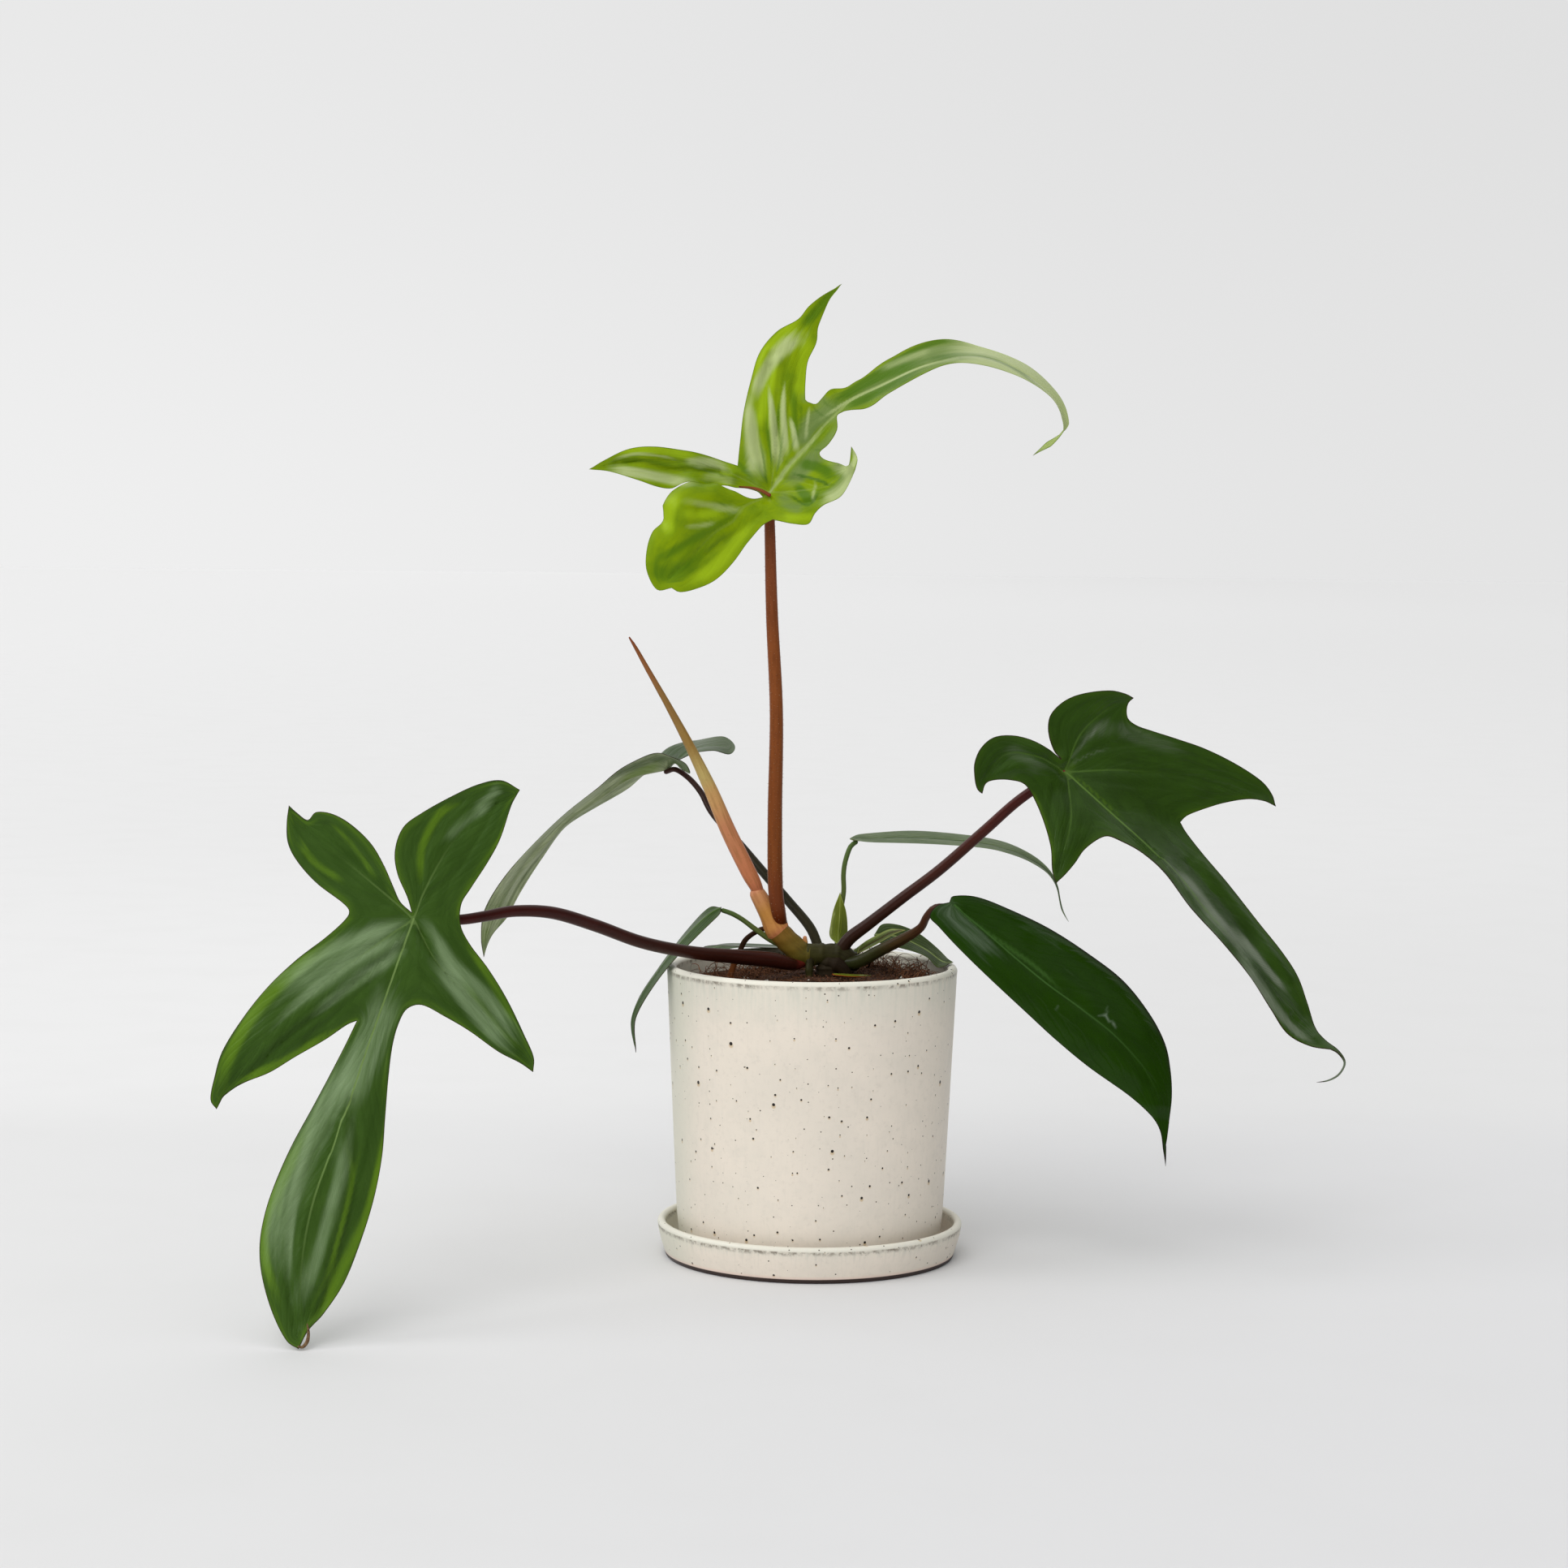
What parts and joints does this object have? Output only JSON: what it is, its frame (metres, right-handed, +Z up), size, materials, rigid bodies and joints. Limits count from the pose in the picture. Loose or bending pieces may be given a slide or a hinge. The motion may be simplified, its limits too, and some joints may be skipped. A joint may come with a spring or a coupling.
{
  "type": "potted philodendron",
  "caption": "Young climbing philodendron with long lobed leaves on thin stalks, planted in a round speckled glazed pot that stands in its saucer.",
  "frame": {"origin": "centre of the saucer's flat underside, on the surface that it stands on", "axes": "+Z up along the pot's axis, +X to the viewer's right, and the front, as pictured, faces -Y"},
  "size_m": [0.5061, 0.3256, 0.4669],
  "materials": {
    "glazed_stoneware": "glossy off-white glaze with brown specks",
    "potting_mix": "loose red-brown fibrous potting mix with a little perlite",
    "leaf_lime": "glossy lime green, with paler lengthwise folds",
    "leaf_deep_green": "glossy deep green with a light midrib",
    "leaf_underside": "satin grey-green underside",
    "leaf_pale": "satin pale green",
    "sheath": "satin yellow-green, dry along its edges",
    "stalk_red_brown": "satin red-brown with fine pale bristles",
    "stalk_maroon": "satin dark maroon",
    "stalk_olive": "satin olive green",
    "new_growth": "satin salmon to tan",
    "stem": "satin olive and brown, ringed by old leaf scars",
    "root": "matt brown"
  },
  "bodies": {
    "root": {"aerial_root": "root", "blade_back_left": "leaf_underside", "blade_back_right": "leaf_pale", "blade_left": "leaf_deep_green", "blade_lower_right": "leaf_deep_green", "blade_on_soil": "leaf_pale", "blade_right": "leaf_deep_green", "blade_rim_back": "leaf_underside", "blade_rim_right": "leaf_underside", "blade_small_left": "leaf_underside", "blade_top": "leaf_lime", "new_leaf": "new_growth", "pot": "glazed_stoneware", "saucer": "glazed_stoneware", "sheath_back_right": "sheath", "sheath_lower_right": "sheath", "soil": "potting_mix", "stalk_back_left": "stalk_maroon", "stalk_back_right": "stalk_olive", "stalk_left": "stalk_maroon", "stalk_lower_right": "stalk_red_brown", "stalk_right": "stalk_maroon", "stalk_rim_back": "stalk_olive", "stalk_rim_right": "stalk_olive", "stalk_small_left": "stalk_olive", "stalk_top": "stalk_red_brown", "stem": "stem", "stem_tip": "new_growth"}
  },
  "joints": []
}
